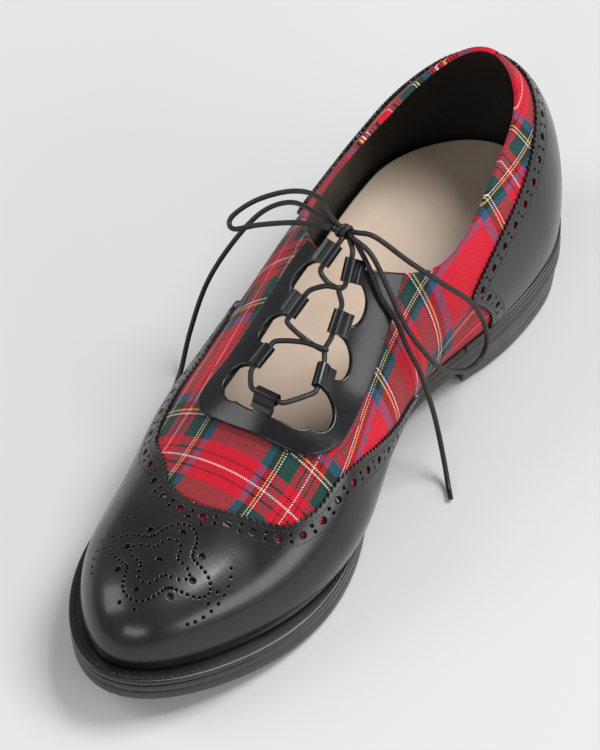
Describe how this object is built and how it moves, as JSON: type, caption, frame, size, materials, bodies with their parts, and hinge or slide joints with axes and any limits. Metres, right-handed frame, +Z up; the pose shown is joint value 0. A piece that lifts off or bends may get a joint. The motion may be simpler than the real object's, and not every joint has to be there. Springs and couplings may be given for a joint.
{
  "type": "ghillie brogue shoe",
  "caption": "Right ghillie brogue: welted leather sole with stacked heel, tartan cloth upper with punched leather overlays, and a thin lace through rolled loops over an open throat",
  "frame": {"origin": "on the floor under the middle of the shoe's bounding box, free lace ends and bow left out", "axes": "+Y from toe to heel, +X towards the inner side of the foot, +Z up"},
  "size_m": [0.1229, 0.292, 0.0999],
  "materials": {
    "tartan_cloth": "wool twill tartan on a crimson ground",
    "black_leather": "polished black calf",
    "insole_leather": "pale tan, matte",
    "sole_leather": "black, burnished edge",
    "lace_cord": "round waxed cotton"
  },
  "bodies": {
    "root": {"upper": "tartan_cloth", "toe_wing": "black_leather", "heel_counter": "black_leather", "eyestay": "black_leather", "lace_tunnel_lateral_1": "black_leather", "lace_tunnel_lateral_2": "black_leather", "lace_tunnel_lateral_3": "black_leather", "lace_tunnel_front": "black_leather", "lace_tunnel_medial_3": "black_leather", "lace_tunnel_medial_2": "black_leather", "lace_tunnel_medial_1": "black_leather", "insole": "insole_leather", "welt": "sole_leather", "heel_rand": "sole_leather", "midsole": "sole_leather", "outsole": "sole_leather", "heel_stack": "sole_leather", "heel_top_piece": "sole_leather", "lace_front_lateral": "lace_cord", "lace_front_medial": "lace_cord", "lace_crossing_low": "lace_cord", "lace_crossing_high": "lace_cord", "lace_knot": "lace_cord", "bow_loop_lateral": "lace_cord", "bow_loop_medial": "lace_cord", "lace_end_lateral": "lace_cord", "lace_end_medial": "lace_cord"}
  },
  "joints": []
}
